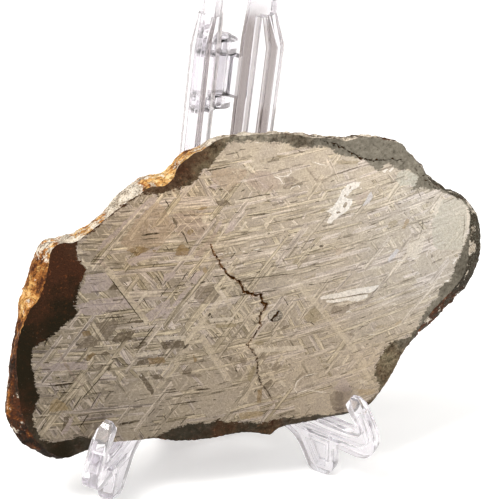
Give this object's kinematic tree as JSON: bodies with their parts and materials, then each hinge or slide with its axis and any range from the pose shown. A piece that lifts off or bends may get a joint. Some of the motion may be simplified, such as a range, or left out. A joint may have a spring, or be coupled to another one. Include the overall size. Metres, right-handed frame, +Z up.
{
  "type": "iron meteorite slice on a folding easel",
  "caption": "Etched slice of an iron meteorite with a rusty crust, standing on a folding clear plastic easel hinged behind it.",
  "frame": {"origin": "middle of the box on the surface that the easel stands on", "axes": "+Z up, -Y towards the viewer of the cut face, +X to the right along the slice's width"},
  "size_m": [0.1518, 0.057, 0.162],
  "materials": {
    "etched_iron": "cut and etched, with a rusty crust round the rim",
    "clear_plastic": "clear, polished, faintly lilac"
  },
  "bodies": {
    "stand_left": {"easel_frame_left": "clear_plastic", "hinge_pin": "clear_plastic", "meteorite_slice": "etched_iron"},
    "stand_right": {"easel_frame_right": "clear_plastic"}
  },
  "joints": [
    {"name": "easel_hinge", "type": "hinge", "parent": "stand_left", "child": "stand_right", "pos_m": [-0.0091, 0.02386, 0.11875], "axis": [0, 0, 1], "range_deg": [-1.5, 1.5]}
  ]
}
